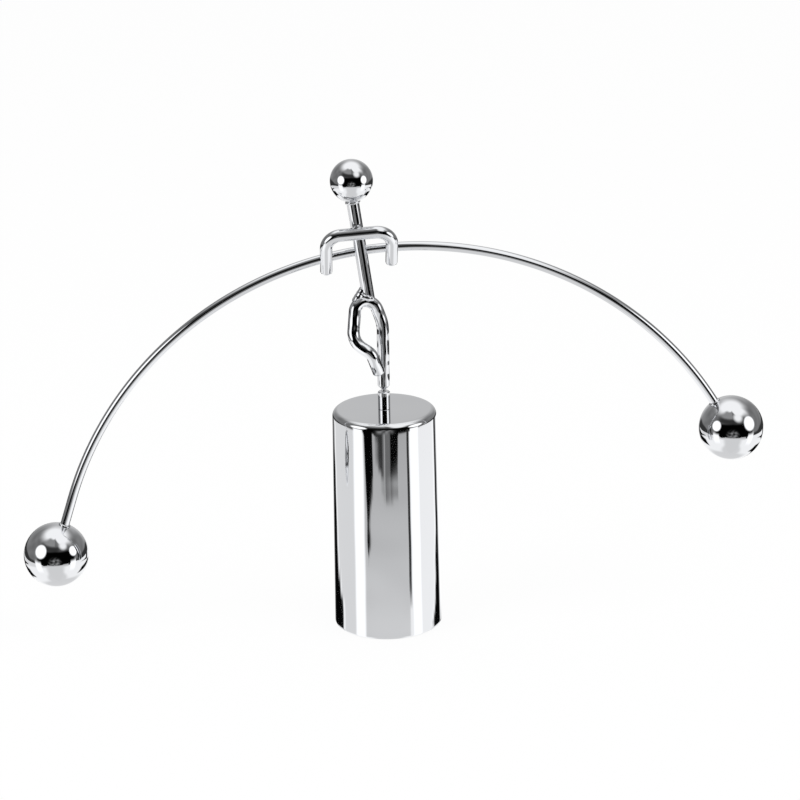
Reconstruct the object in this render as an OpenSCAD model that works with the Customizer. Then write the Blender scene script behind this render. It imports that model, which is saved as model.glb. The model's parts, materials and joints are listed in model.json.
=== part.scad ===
// Kinetic balance toy: a chromed rod figure stands on one toe on a small post and
// carries a long arched wire with a ball at each end. The balls hang below the toe,
// so the figure always rocks back to the pose that is drawn here.
// Millimetres, +Z up, the foot of the base at the origin, the wire along X, the
// figure's front towards -Y.

/* [Base] */
// Diameter across the foot of the cup
cup_foot_d = 36; // [30:0.1:50]
// Diameter of the cup where its wall would meet the top face
cup_top_d = 34.2; // [28:0.1:50]
// Height of the cup's top face above the table
cup_h = 75.4; // [60:0.1:95]
// Thickness of the drawn steel of the cup
cup_wall = 1; // [0.6:0.1:1.6]
// Radius of the rounded edge round the top face
cup_edge_r = 2; // [1.8:0.1:4]
// Height of the cup's rim above the table
rim_lift = 0.4; // [0.2:0.1:1]
// Thickness of the foam pad that the toy stands on
pad_t = 2; // [1.2:0.1:4]

/* [Post] */
// Diameter of the post
post_d = 4; // [3.8:0.1:6]
// Height of the post above the cup's top face
post_h = 6; // [4:0.1:12]
// Diameter of the screwed shank inside the cup
shank_d = 3; // [2:0.1:3.4]
// Width of the nut across its flats
nut_flats = 5.5; // [5.2:0.1:8]
// Thickness of the nut
nut_t = 2.4; // [1.5:0.1:4]
// Diameter of the washer
washer_d = 7; // [6:0.1:10]
// Thickness of the washer
washer_t = 0.5; // [0.4:0.1:1]
// Diameter of the hardened ball under the toe
tip_d = 1.5; // [1.2:0.1:1.8]
// Height of the ball's centre above the post
tip_lift = 0.35; // [0.25:0.05:0.5]

/* [Figure] */
// Diameter of the rod that the figure is bent from
rod_d = 4; // [3.4:0.1:4.6]
// Lean of the figure at rest, towards its left ball
lean = 7.8; // [0:0.1:12]
// Diameter of the head
head_d = 13.8; // [11:0.1:17]
// Height of the head's centre above the toe, along the body
head_z = 71.3; // [68:0.1:80]
// Distance of the head's centre from the body rod's line
head_shift = 0.7; // [0:0.1:1.2]
// Height of the arch of the legs above the toe, along the body
hip_z = 31; // [29:0.1:34]
// Height of the arm bar above the toe, along the body
arm_z = 54.7; // [52:0.1:58]
// Distance of the arms' middle from the body rod's line
arm_shift = 0.3; // [-1:0.1:1]
// Width of the arms between the middles of the hands
arm_w = 21.2; // [18:0.1:26]
// Slope of the arm bar across the body
arm_slope = 4.5; // [0:0.1:8]
// Slope of the forearms across the body
forearm_slope = 7.8; // [3:0.1:12]
// Length of the left forearm, from the corner of the arms to its end
left_forearm_l = 14.5; // [12.5:0.1:16]
// Length of the right forearm, from the corner of the arms to its end
right_forearm_l = 13.7; // [12.5:0.1:16]
// Radius of the bends at the corners of the arms
arm_bend_r = 5; // [3.5:0.1:6]
// Depth that crossing rods sink into each other at a weld
weld_sink = 0.15; // [0.05:0.01:0.3]
// Radius of the beads at the crossings
weld_r = 1.9; // [1.5:0.1:2.2]

/* [Balance wire] */
// Diameter of the wire
wire_d = 3; // [2.4:0.1:3.6]
// Radius of the wire's arch
wire_r = 118.6; // [110:0.1:130]
// Angle that the arch spans to its left
left_span = 63.9; // [59:0.1:68]
// Angle that the arch spans to its right
right_span = 65.4; // [60:0.1:69]
// Length of the straight left end of the wire, up to the ball's centre
left_end = 20.5; // [14:0.1:26]
// Length of the straight right end of the wire, up to the ball's centre
right_end = 12.5; // [12.5:0.1:24]
// Height of the arch's top above the toe, along the body
wire_z = 47.1; // [46:0.1:49]
// Slope of the wire across the body
wire_slope = 0; // [-2:0.1:2]
// Diameter of the left ball
left_ball_d = 21.4; // [18:0.02:24]
// Diameter of the right ball, a hair over the left one to trim the balance
right_ball_d = 21.46; // [18:0.02:24]
// Depth of the wire's hole in a ball
ball_hole = 7; // [4:0.1:9]

/* [Hidden] */
$fn = 96;

chrome = [0.80, 0.81, 0.83];
bright = [0.90, 0.91, 0.92];
zinc = [0.62, 0.64, 0.66];
cement = [0.66, 0.64, 0.60];
foam = [0.13, 0.13, 0.14];

// Clearances: cast filling, glued pad, turning post, ball in its seats, drilled holes, nut
fill_gap = 0.1;
pad_gap = 0.3;
turn_gap = 0.05;
tip_gap = 0.03;
hole_gap = 0.05;
nut_gap = 0.4;
eps = 0.01;
// Straight runs of a bent rod reach this far into its bends, and are this much thinner
lap = 0.1;
seam = 0.005;

rod_r = rod_d / 2;
wire_rr = wire_d / 2;
tip_r = tip_d / 2;
post_top = cup_h + turn_gap + post_h;
pivot_z = post_top + tip_lift;

// Small trims: rounded rod ends, chamfer of the post, face of the toe and its taper
end_r = 0.45 * rod_r;
post_chamfer = 0.3;
toe_lift = 0.07;
toe_face_r = tip_r + 0.1;
toe_taper_z = 1.7;
hip_sink = 1.4;
neck_hole = 3.5;

// Beads: neck, wire crossings and the balls' mouths
neck_bead_r = 0.5;
wire_weld_r = 1.5;
ball_bead_r = 0.5;
// Lumps of the hip weld in shares of the rod's radius, from the crest of the legs:
// x, y, z and radius. They run down the left of the body and round its front and back
hip_lumps = [
    [-0.7, 0, 0.9, 0.6], [-1.1, -0.05, 0.3, 0.65], [-1.55, -0.1, -0.2, 0.65],
    [-2.05, -0.2, -0.65, 0.65], [-0.75, -0.65, 0, 0.55], [-0.1, -0.9, -0.4, 0.45],
    [0.5, -0.8, -0.6, 0.4], [-0.75, 0.65, 0, 0.55], [-0.1, 0.9, -0.4, 0.45],
    [0.5, 0.8, -0.6, 0.4]
];

// The legs are one bent rod. Its corners, seen from the front with the body upright:
// toe, top of the standing leg, hip, raised thigh, knee and the end of the shin.
leg_slope = 8;
stand_l = hip_z - 8.4;
leg_path = [
    [0, 0, 0],
    [stand_l * tan(leg_slope), 0, stand_l],
    [1.8, 0, hip_z - 1.4],
    [-4, -0.8, hip_z + 2.2],
    [-7.4, -4.2, hip_z - 11.5],
    [-2.1, -6.4, hip_z - 16],
    [-0.6, -4.5, hip_z - 23.7]
];
leg_bends = [0, 14, 4.6, 3.5, 6, 3.6, 0];

// Vector helpers
function unit(v) = v / norm(v);
function run_dir(path, i) = unit(path[i + 1] - path[i]);
function turn(path, i) = acos(max(-1, min(1, run_dir(path, i - 1) * run_dir(path, i))));
function setback(path, bends, i) =
    i == 0 || i == len(path) - 1 ? 0 : bends[i] * tan(turn(path, i) / 2);
function run_start(path, bends, i) = path[i] + run_dir(path, i) * setback(path, bends, i);
function run_end(path, bends, i) =
    path[i + 1] - run_dir(path, i) * setback(path, bends, i + 1);

// A bend's frame: x away from its centre at the start, y along the rod there
function bend_x(path, i) =
    let (a = run_dir(path, i - 1), b = run_dir(path, i)) -unit(b - a * (a * b));
function bend_centre(path, bends, i) =
    run_end(path, bends, i - 1) - bend_x(path, i) * bends[i];

// Turning about the toe: tilt lifts the right side, nod brings what hangs low forward
function tilt(p, a) = [p.x * cos(a) - p.z * sin(a), p.y, p.x * sin(a) + p.z * cos(a)];
function nod(p, a) = [p.x, p.y * cos(a) + p.z * sin(a), p.z * cos(a) - p.y * sin(a)];

// The wire's own frame has the arch's top at its origin and the wire in its XZ plane
weld_gap = rod_r + wire_rr - weld_sink;
function arch(a) = [wire_r * sin(a), 0, wire_r * (cos(a) - 1)];
function arch_dir(a) = [cos(a), 0, -sin(a)];
function arch_end(side) = side < 0 ? arch(-left_span) : arch(right_span);
function end_dir(side) = side < 0 ? -arch_dir(-left_span) : arch_dir(right_span);
function ball_d(side) = side < 0 ? left_ball_d : right_ball_d;
function ball_at(side) = arch_end(side) + (side < 0 ? left_end : right_end) * end_dir(side);
function mouth_at(side) = ball_at(side) - ball_d(side) / 2 * end_dir(side);
function wire_place(p, x0, lean_in) =
    [x0, weld_gap, wire_z] + tilt(nod(p, lean_in), wire_slope);
function wire_angle(x, x0) = asin((x - x0) / wire_r);
function wire_at(x, x0, lean_in) = wire_place(arch(wire_angle(x, x0)), x0, lean_in);
function wire_dir(x, x0, lean_in) =
    tilt(nod(arch_dir(wire_angle(x, x0)), lean_in), wire_slope);

// The arms: the bar lies on the front of the body, and each forearm leans back until
// it meets the wire, which a few steps of the search below find
arm_y = weld_sink - rod_d;
function arm_corner(side) =
    [arm_shift, arm_y, arm_z] + tilt([side * arm_w / 2, 0, 0], -arm_slope);
function forearm_dir(back) = [-sin(forearm_slope) * cos(back), sin(back),
    -cos(forearm_slope) * cos(back)];
function hand_x(side, back) =
    let (c = arm_corner(side), d = forearm_dir(back)) c.x + d.x * (c.z - wire_z) / -d.z;
function hand_distance(side, back, x0, lean_in) =
    let (x = hand_x(side, back), d = forearm_dir(back))
        (wire_at(x, x0, lean_in) - arm_corner(side)) * unit(cross(wire_dir(x, x0, lean_in), d));
function forearm_back(side, x0, lean_in, back = 20, steps = 8) =
    steps == 0 ? back : forearm_back(side, x0, lean_in,
        back + (hand_distance(side, back, x0, lean_in) - weld_gap)
            / (arm_corner(side).z - wire_z) * 180 / PI, steps - 1);
function arm_path(x0, lean_in) = [
    arm_corner(-1) + left_forearm_l * forearm_dir(forearm_back(-1, x0, lean_in)),
    arm_corner(-1),
    arm_corner(1),
    arm_corner(1) + right_forearm_l * forearm_dir(forearm_back(1, x0, lean_in))
];
arm_bends = [0, arm_bend_r, arm_bend_r, 0];
chest_z = arm_z + arm_shift * tan(arm_slope);

// Balance. All that rides on the toe is steel, so volumes stand for masses. A load is
// [volume, and volume times x, y and z].
function load(v, p) = [v, v * p.x, v * p.y, v * p.z];
function sum(list) = [for (item = list) 1] * list;
function globe_v(d) = PI * pow(d, 3) / 6;
function rod_v(d, l) = PI * d * d / 4 * l;
function run_load(path, bends, i) =
    let (a = run_start(path, bends, i), b = run_end(path, bends, i))
        load(rod_v(rod_d, norm(b - a)), (a + b) / 2);
function bend_load(path, bends, i) =
    let (t = turn(path, i), h = t * PI / 360, r = bends[i] * sin(t / 2) / h,
        x = bend_x(path, i), y = run_dir(path, i - 1))
        load(rod_v(rod_d, bends[i] * 2 * h),
            bend_centre(path, bends, i) + r * (x * cos(t / 2) + y * sin(t / 2)));
function rod_load(path, bends) = sum(concat(
    [for (i = [0:len(path) - 2]) run_load(path, bends, i)],
    [for (i = [1:len(path) - 2]) bend_load(path, bends, i)]));

body_foot_z = hip_z + rod_r - hip_sink;
body_top_z = head_z - head_d / 2;
head_at = [head_shift, 0, head_z];

figure_load = rod_load(leg_path, leg_bends) + rod_load(arm_path(0, 0), arm_bends)
    + load(globe_v(head_d), head_at)
    + load(rod_v(rod_d, body_top_z - body_foot_z), [0, 0, (body_foot_z + body_top_z) / 2]);
function end_load(side) = load(globe_v(ball_d(side)), ball_at(side))
    + load(rod_v(wire_d, norm(mouth_at(side) - arch_end(side))),
        (arch_end(side) + mouth_at(side)) / 2);
span = (left_span + right_span) * PI / 180;
arch_mid = [(cos(left_span) - cos(right_span)) / span, 0,
    (sin(left_span) + sin(right_span)) / span - 1] * wire_r;
wire_load = end_load(-1) + end_load(1) + load(rod_v(wire_d, wire_r * span), arch_mid);

// The wire leans forward and is slid along until the load hangs plumb under the toe
wire_lean = asin(-(figure_load[2] + wire_load[0] * weld_gap) / wire_load[3]);
wire_mid = [wire_load[1], 0, wire_load[3]] / wire_load[0];
wire_hang = tilt(nod(wire_mid, wire_lean), wire_slope);
figure_x = figure_load[1] * cos(lean) - figure_load[3] * sin(lean);
wire_x = ((wire_z + wire_hang.z) * sin(lean) - figure_x / wire_load[0]) / cos(lean)
    - wire_hang.x;
load_z = (figure_load[1] + wire_load[0] * (wire_x + wire_hang.x)) * sin(lean)
    + (figure_load[3] + wire_load[0] * (wire_z + wire_hang.z)) * cos(lean);
echo(str("The load hangs ", -load_z / (figure_load[0] + wire_load[0]), " mm below the toe"));
echo(wire_lean = wire_lean, wire_x = wire_x);

// Placing: the figure's frame has the toe's ball at its origin and the body upright
module in_figure() translate([0, 0, pivot_z]) rotate([0, -lean, 0]) children();
module in_wire()
    in_figure() translate([wire_x, weld_gap, wire_z]) rotate([0, -wire_slope, 0])
        rotate([-wire_lean, 0, 0]) children();
module along(p, dir)
    translate(p) rotate([0, acos(dir.z / norm(dir)), atan2(dir.y, dir.x)]) children();

// The last bit of a round rod with its edge rounded, from the origin up
module rounded_end(d, r) {
    rotate_extrude() {
        translate([0, -lap]) square([d / 2 - r, r + lap]);
        translate([0, -lap]) square([d / 2, lap]);
        intersection() {
            translate([d / 2 - r, 0]) circle(r);
            translate([d / 2 - r - eps, -eps]) square([r + eps, r + 2 * eps]);
        }
    }
}

// A straight run of rod that laps what follows or comes before it
module straight(a, b, d, lap_a, lap_b) {
    dir = unit(b - a);
    along(a - dir * lap_a, dir) cylinder(h = norm(b - a) + lap_a + lap_b, d = d - 2 * seam);
}

// A rod bent round corners: straight runs, with a piece of a ring at each corner
module bent_rod(path, bends, d) {
    for (i = [0:len(path) - 2])
        straight(run_start(path, bends, i), run_end(path, bends, i), d, lap, lap);
    for (i = [1:len(path) - 2]) {
        x = bend_x(path, i);
        y = run_dir(path, i - 1);
        z = cross(x, y);
        c = bend_centre(path, bends, i);
        multmatrix([[x.x, y.x, z.x, c.x], [x.y, y.y, z.y, c.y], [x.z, y.z, z.z, c.z]])
            rotate_extrude(angle = turn(path, i)) translate([bends[i], 0]) circle(d = d);
    }
}

// The cup's section, drawn in from its outside by an inset
wall_slope = atan((cup_foot_d - cup_top_d) / 2 / cup_h);
module cup_section(inset, foot_z) {
    edge_r = cup_edge_r - inset;
    top_z = cup_h - inset;
    edge_z = top_z - edge_r;
    top_r = cup_top_d / 2 - inset / cos(wall_slope) + inset * tan(wall_slope);
    edge_x = top_r - edge_r * (1 - sin(wall_slope)) / cos(wall_slope);
    foot_r = top_r + (top_z - foot_z) * tan(wall_slope);
    polygon([
        [0, foot_z], [foot_r, foot_z],
        [edge_x + edge_r * cos(wall_slope), edge_z + edge_r * sin(wall_slope)],
        [edge_x, edge_z], [edge_x, top_z], [0, top_z]
    ]);
    translate([edge_x, edge_z]) circle(edge_r);
}

module base_cup() {
    color(chrome)
        rotate_extrude() difference() {
            cup_section(0, rim_lift);
            cup_section(cup_wall, rim_lift - eps);
            translate([0, cup_h - cup_wall - eps])
                square([shank_d / 2 + turn_gap, cup_wall + 2 * eps]);
        }
}

nut_z = cup_h - cup_wall - turn_gap - washer_t - nut_t;
nut_r = nut_flats / sqrt(3);

module base_ballast() {
    pocket_r = max(washer_d / 2, nut_r) + nut_gap;
    color(cement)
        rotate_extrude() difference() {
            cup_section(cup_wall + fill_gap, pad_t);
            translate([0, nut_z - nut_gap]) square([pocket_r, cup_h]);
        }
}

module base_pad() {
    pad_r = cup_foot_d / 2 - cup_wall / cos(wall_slope) - pad_t * tan(wall_slope) - pad_gap;
    color(foam) cylinder(h = pad_t, r = pad_r);
}

module support_post() {
    color(bright) difference() {
        union() {
            translate([0, 0, post_top - post_chamfer])
                cylinder(h = post_chamfer, d1 = post_d, d2 = post_d - 2 * post_chamfer);
            translate([0, 0, cup_h + turn_gap])
                cylinder(h = post_h - post_chamfer, d = post_d);
            translate([0, 0, nut_z]) cylinder(h = cup_h + turn_gap - nut_z, d = shank_d);
        }
        translate([0, 0, pivot_z]) sphere(tip_r + tip_gap);
    }
}

module post_washer() {
    color(zinc) translate([0, 0, nut_z + nut_t]) difference() {
        cylinder(h = washer_t, d = washer_d);
        translate([0, 0, -eps]) cylinder(h = washer_t + 2 * eps, d = shank_d);
    }
}

module post_nut() {
    color(zinc) translate([0, 0, nut_z]) difference() {
        cylinder(h = nut_t, r = nut_r, $fn = 6);
        translate([0, 0, -eps]) cylinder(h = nut_t + 2 * eps, d = shank_d);
    }
}

module pivot_ball() {
    color(bright) translate([0, 0, pivot_z]) sphere(tip_r);
}

// The legs' rod from the end of the toe's taper, with the shin's end rounded
module leg_shape() {
    up = run_dir(leg_path, 0);
    last = len(leg_path) - 1;
    shin = run_dir(leg_path, last - 1);
    path = [for (i = [0:last])
        i == 0 ? up * toe_taper_z : i == last ? leg_path[i] - shin * end_r : leg_path[i]];
    bent_rod(path, leg_bends, rod_d);
    along(path[last], shin) rounded_end(rod_d, end_r);
    along(up * (tip_lift + toe_lift), up)
        cylinder(h = toe_taper_z - tip_lift - toe_lift, r1 = toe_face_r, r2 = rod_r);
}

module leg_rod() {
    color(chrome) in_figure() difference() {
        leg_shape();
        sphere(tip_r + tip_gap);
    }
}

module body_shape()
    in_figure() translate([0, 0, body_foot_z])
        cylinder(h = body_top_z - body_foot_z + neck_hole, d = rod_d);

module wire_shape()
    in_wire() {
        translate([0, 0, -wire_r]) rotate([90, 0, 0]) rotate([0, 0, 90 - right_span])
            rotate_extrude(angle = left_span + right_span, $fn = 720)
                translate([wire_r, 0]) circle(d = wire_d, $fn = 48);
        for (side = [-1, 1])
            straight(arch_end(side), mouth_at(side) + ball_hole * end_dir(side), wire_d, lap, 0);
    }

module body_rod() {
    color(chrome) difference() {
        body_shape();
        in_figure() leg_shape();
        wire_shape();
    }
}

module head_ball() {
    color(chrome) in_figure() difference() {
        translate(head_at) sphere(d = head_d);
        translate([0, 0, body_top_z - neck_hole])
            cylinder(h = 2 * neck_hole + hole_gap, r = rod_r + hole_gap);
    }
}

module neck_weld() {
    color(bright) difference() {
        in_figure() translate([0, 0, body_top_z]) ring(rod_r, neck_bead_r);
        in_figure() translate(head_at) sphere(d = head_d);
        body_shape();
    }
}

// A bead laid round a rod
module ring(r, bead_r) rotate_extrude() translate([r, 0]) circle(bead_r);

module arm_bracket() {
    path = arm_path(wire_x, wire_lean);
    left = unit(path[0] - path[1]);
    right = unit(path[3] - path[2]);
    short = [path[0] - left * end_r, path[1], path[2], path[3] - right * end_r];
    color(chrome) difference() {
        in_figure() {
            bent_rod(short, arm_bends, rod_d);
            along(short[0], left) rounded_end(rod_d, end_r);
            along(short[3], right) rounded_end(rod_d, end_r);
        }
        body_shape();
        wire_shape();
    }
}

module balance_wire() {
    color(chrome) wire_shape();
}

// A bead where two crossing rods touch, pressed out to the sides of both
module bead(p, r) {
    color(bright) difference() {
        in_figure() translate(p) sphere(r);
        children();
    }
}

module chest_weld()
    bead([0, arm_y / 2, chest_z], weld_r) {
        body_shape();
        in_figure() bent_rod(arm_path(wire_x, wire_lean), arm_bends, rod_d);
    }

module back_weld()
    bead(wire_at(0, wire_x, wire_lean) - [0, wire_rr, 0], wire_weld_r) {
        body_shape();
        wire_shape();
    }

function hand_touch(side) =
    let (back = forearm_back(side, wire_x, wire_lean), x = hand_x(side, back))
        wire_at(x, wire_x, wire_lean)
            - unit(cross(wire_dir(x, wire_x, wire_lean), forearm_dir(back))) * wire_rr;

module hand_weld(side)
    bead(hand_touch(side), wire_weld_r) {
        wire_shape();
        in_figure() bent_rod(arm_path(wire_x, wire_lean), arm_bends, rod_d);
    }

module left_hand_weld() hand_weld(-1);
module right_hand_weld() hand_weld(1);

// The heavy weld at the hip runs down the left of the body rod onto the thigh
module hip_weld() {
    color(bright) difference() {
        in_figure() translate([0, 0, hip_z + rod_r])
            for (b = hip_lumps * rod_r) translate([b[0], b[1], b[2]]) sphere(b[3]);
        body_shape();
        in_figure() leg_shape();
    }
}

module end_ball(side)
    color(chrome) in_wire() along(ball_at(side), -end_dir(side)) difference() {
        sphere(d = ball_d(side));
        translate([0, 0, ball_d(side) / 2 - ball_hole - hole_gap])
            cylinder(h = 2 * ball_hole, r = wire_rr + hole_gap);
    }

module ball_weld(side)
    color(bright) difference() {
        in_wire() along(mouth_at(side), end_dir(side)) ring(wire_rr, ball_bead_r);
        in_wire() translate(ball_at(side)) sphere(d = ball_d(side));
        wire_shape();
    }

module left_ball() end_ball(-1);
module right_ball() end_ball(1);
module left_ball_weld() ball_weld(-1);
module right_ball_weld() ball_weld(1);

base_cup();
base_ballast();
base_pad();
support_post();
post_washer();
post_nut();
pivot_ball();
leg_rod();
hip_weld();
body_rod();
head_ball();
neck_weld();
arm_bracket();
chest_weld();
balance_wire();
back_weld();
left_hand_weld();
right_hand_weld();
left_ball();
right_ball();
left_ball_weld();
right_ball_weld();
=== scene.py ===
import json
from math import acos, asin, atan, ceil, cos, degrees, pi, radians, sin, tan

import bmesh
import bpy
import numpy as np
from mathutils import Matrix, Vector


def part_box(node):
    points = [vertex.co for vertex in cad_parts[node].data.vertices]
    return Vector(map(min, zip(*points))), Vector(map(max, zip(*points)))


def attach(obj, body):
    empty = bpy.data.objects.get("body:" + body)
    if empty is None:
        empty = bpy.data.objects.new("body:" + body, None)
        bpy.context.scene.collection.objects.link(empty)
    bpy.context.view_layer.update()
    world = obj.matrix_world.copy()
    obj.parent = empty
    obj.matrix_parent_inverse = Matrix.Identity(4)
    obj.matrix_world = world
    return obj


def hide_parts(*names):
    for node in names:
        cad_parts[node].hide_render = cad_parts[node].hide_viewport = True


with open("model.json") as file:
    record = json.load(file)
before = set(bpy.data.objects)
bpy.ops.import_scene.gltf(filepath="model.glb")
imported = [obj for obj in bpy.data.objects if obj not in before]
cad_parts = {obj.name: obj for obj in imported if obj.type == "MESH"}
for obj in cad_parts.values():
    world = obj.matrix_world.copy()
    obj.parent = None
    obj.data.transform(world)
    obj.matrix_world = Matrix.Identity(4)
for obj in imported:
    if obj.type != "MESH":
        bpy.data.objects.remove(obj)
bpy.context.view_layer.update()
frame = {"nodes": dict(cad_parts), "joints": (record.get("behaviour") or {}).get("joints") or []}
MM = 0.001

# Base
CUP_FOOT_D = 36.0
CUP_TOP_D = 34.2
CUP_H = 75.4
CUP_WALL = 1.0
CUP_EDGE_R = 2.0
RIM_LIFT = 0.4
PAD_T = 2.0
PAD_GAP = 0.3
PAD_EDGE_R = 0.4
FOOT_EDGE_R = 0.2

# Post
TURN_GAP = 0.05
POST_D = 4.0
POST_H = 6.0
POST_CHAMFER = 0.3
SHANK_D = 3.0
NUT_Z = CUP_H - CUP_WALL - TURN_GAP - 0.5 - 2.4
TIP_R = 0.75
TIP_GAP = 0.03
TIP_LIFT = 0.35

# Figure
ROD_R = 2.0
LEAN = 7.8
HEAD_R = 6.9
HEAD_Z = 71.3
HEAD_SHIFT = 0.7
NECK_HOLE = 3.5
HOLE_GAP = 0.05
HIP_Z = 31.0
HIP_SINK = 1.4
LEG_SLOPE = 8.0
ARM_Z = 54.7
ARM_SHIFT = 0.3
ARM_W = 21.2
ARM_SLOPE = 4.5
FOREARM_SLOPE = 7.8
LEFT_FOREARM_L = 14.5
RIGHT_FOREARM_L = 13.7
ARM_BEND_R = 5.0
WELD_SINK = 0.15
END_R = 0.9
TOE_FACE_Z = 0.42
TOE_FACE_R = 0.85
TOE_TAPER_Z = 1.7

# Wire and its balls
WIRE_R = 1.5
ARCH_R = 118.6
LEFT_SPAN = 63.9
RIGHT_SPAN = 65.4
LEFT_END = 20.5
RIGHT_END = 12.5
WIRE_Z = 47.1
LEFT_BALL_R = 10.7
RIGHT_BALL_R = 10.73
BALL_HOLE = 7.0

# Photograph: the camera in the studio, whose own axes are turned from the toy's
STUDIO_TURN = -3.25
LENS = 107.72
EYE = (-0.35, -744.13, 333.7)
AIM_RIGHT = 0.43
AIM_DOWN = 18.95
ROLL = -1.05


def mm(x, y, z):
    return Vector((x, y, z))


def tilt(p, angle):
    """Turns a point about Y, lifting its right side."""
    a = radians(angle)
    return mm(p.x * cos(a) - p.z * sin(a), p.y, p.x * sin(a) + p.z * cos(a))


def nod(p, angle):
    """Turns a point about X, bringing what hangs low forward."""
    a = radians(angle)
    return mm(p.x, p.y * cos(a) + p.z * sin(a), p.z * cos(a) - p.y * sin(a))


PIVOT = Vector(frame["joints"][0]["pos_m"]) / MM


def in_figure(p):
    """From the upright figure's frame, with the toe at its origin, to the toy's."""
    return PIVOT + tilt(p, LEAN)


def arch(angle):
    a = radians(angle)
    return mm(ARCH_R * sin(a), 0, ARCH_R * (cos(a) - 1))


def arch_dir(angle):
    a = radians(angle)
    return mm(cos(a), 0, -sin(a))


def arch_end(side):
    return arch(-LEFT_SPAN if side < 0 else RIGHT_SPAN)


def end_dir(side):
    """The direction in which a straight end of the wire runs out to its ball."""
    return -arch_dir(-LEFT_SPAN) if side < 0 else arch_dir(RIGHT_SPAN)


def ball_on_wire(side):
    return arch_end(side) + end_dir(side) * (LEFT_END if side < 0 else RIGHT_END)


def ball_r(side):
    return LEFT_BALL_R if side < 0 else RIGHT_BALL_R


WELD_GAP = ROD_R + WIRE_R - WELD_SINK


def wire_set():
    """How far the wire leans forward and is slid along, read from the balls of the frame."""
    balls = [(a + b) / 2 / MM for a, b in (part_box("left_ball"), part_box("right_ball"))]
    middle = tilt((balls[0] + balls[1]) / 2 - PIVOT, -LEAN) - mm(0, WELD_GAP, WIRE_Z)
    hang = (ball_on_wire(-1) + ball_on_wire(1)) / 2
    return degrees(asin(middle.y / hang.z)), middle.x - hang.x


WIRE_LEAN, WIRE_X = wire_set()


def wire_place(p):
    """From the wire's own frame, with the arch's top at its origin, to the upright figure's."""
    return mm(WIRE_X, WELD_GAP, WIRE_Z) + nod(p, WIRE_LEAN)


def wire_at(x):
    return wire_place(arch(degrees(asin((x - WIRE_X) / ARCH_R))))


def wire_dir(x):
    return nod(arch_dir(degrees(asin((x - WIRE_X) / ARCH_R))), WIRE_LEAN)


# Paths of the bent rods, in the upright figure's frame

STAND_L = HIP_Z - 8.4
LEG_CORNERS = [
    mm(0, 0, 0),
    mm(STAND_L * tan(radians(LEG_SLOPE)), 0, STAND_L),
    mm(1.8, 0, HIP_Z - 1.4),
    mm(-4, -0.8, HIP_Z + 2.2),
    mm(-7.4, -4.2, HIP_Z - 11.5),
    mm(-2.1, -6.4, HIP_Z - 16),
    mm(-0.6, -4.5, HIP_Z - 23.7),
]
LEG_BENDS = [0, 14, 4.6, 3.5, 6, 3.6, 0]
ARM_Y = WELD_SINK - 2 * ROD_R


def arm_corner(side):
    return mm(ARM_SHIFT, ARM_Y, ARM_Z) + tilt(mm(side * ARM_W / 2, 0, 0), -ARM_SLOPE)


def forearm_dir(back):
    a, s = radians(back), radians(FOREARM_SLOPE)
    return mm(-sin(s) * cos(a), sin(a), -cos(s) * cos(a))


def hand_x(side, back):
    corner, way = arm_corner(side), forearm_dir(back)
    return corner.x + way.x * (corner.z - WIRE_Z) / -way.z


def forearm_back(side):
    """The angle at which a forearm leans back until it rests against the wire."""
    back = 20.0
    for _ in range(8):
        x = hand_x(side, back)
        across = wire_dir(x).cross(forearm_dir(back)).normalized()
        short = (wire_at(x) - arm_corner(side)).dot(across) - WELD_GAP
        back += degrees(short / (arm_corner(side).z - WIRE_Z))
    return back


def hand_touch(side):
    back = forearm_back(side)
    x = hand_x(side, back)
    return wire_at(x) - wire_dir(x).cross(forearm_dir(back)).normalized() * WIRE_R


def arm_corners():
    ends = [arm_corner(side) + length * forearm_dir(forearm_back(side))
            for side, length in ((-1, LEFT_FOREARM_L), (1, RIGHT_FOREARM_L))]
    return [ends[0], arm_corner(-1), arm_corner(1), ends[1]]


def bent(corners, bends, step=2.5):
    """Points along the middle of a rod, with an arc of the given radius at each corner."""
    points = [corners[0]]
    for before, corner, after, bend in zip(corners, corners[1:], corners[2:], bends[1:]):
        a, b = (corner - before).normalized(), (after - corner).normalized()
        angle = a.angle(b)
        outward = -(b - a * a.dot(b)).normalized()
        centre = corner - a * bend * tan(angle / 2) - outward * bend
        for t in np.linspace(0, angle, ceil(degrees(angle) / step) + 1):
            points.append(centre + bend * (outward * cos(t) + a * sin(t)))
    points.append(corners[-1])
    return points


def rounded_tip(points, radius, edge_r, steps=8):
    """Ends a path in rings that shrink round the rod's edge. Gives points and ring sizes."""
    way = (points[-1] - points[-2]).normalized()
    start = points[-1] - way * edge_r
    tips = [(start + way * edge_r * sin(t), 1 - edge_r / radius * (1 - cos(t)))
            for t in np.linspace(0, pi / 2, steps)]
    return points[:-1] + [p for p, _ in tips], [1.0] * (len(points) - 1) + [s for _, s in tips]


def linked(name, data):
    obj = bpy.data.objects.new(name, data)
    bpy.context.collection.objects.link(obj)
    return obj


# Geometry Nodes trees


def new_tree(name, sockets):
    """A tree with its inputs by name, its input and output nodes, and a maker of nodes."""
    tree = bpy.data.node_groups.new(name, "GeometryNodeTree")
    tree.interface.new_socket("Geometry", in_out="INPUT", socket_type="NodeSocketGeometry")
    for label, kind in sockets:
        tree.interface.new_socket(label, in_out="INPUT", socket_type="NodeSocket" + kind)
    tree.interface.new_socket("Geometry", in_out="OUTPUT", socket_type="NodeSocketGeometry")
    enter, leave = tree.nodes.new("NodeGroupInput"), tree.nodes.new("NodeGroupOutput")

    def add(kind, settings=None, **links):
        node = tree.nodes.new(kind)
        for key, value in (settings or {}).items():
            setattr(node, key, value)
        for key, value in links.items():
            socket = node.inputs[key.replace("_", " ")]
            if isinstance(value, bpy.types.NodeSocket):
                tree.links.new(value, socket)
            else:
                socket.default_value = value
        return node

    return tree, enter, leave, add


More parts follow.
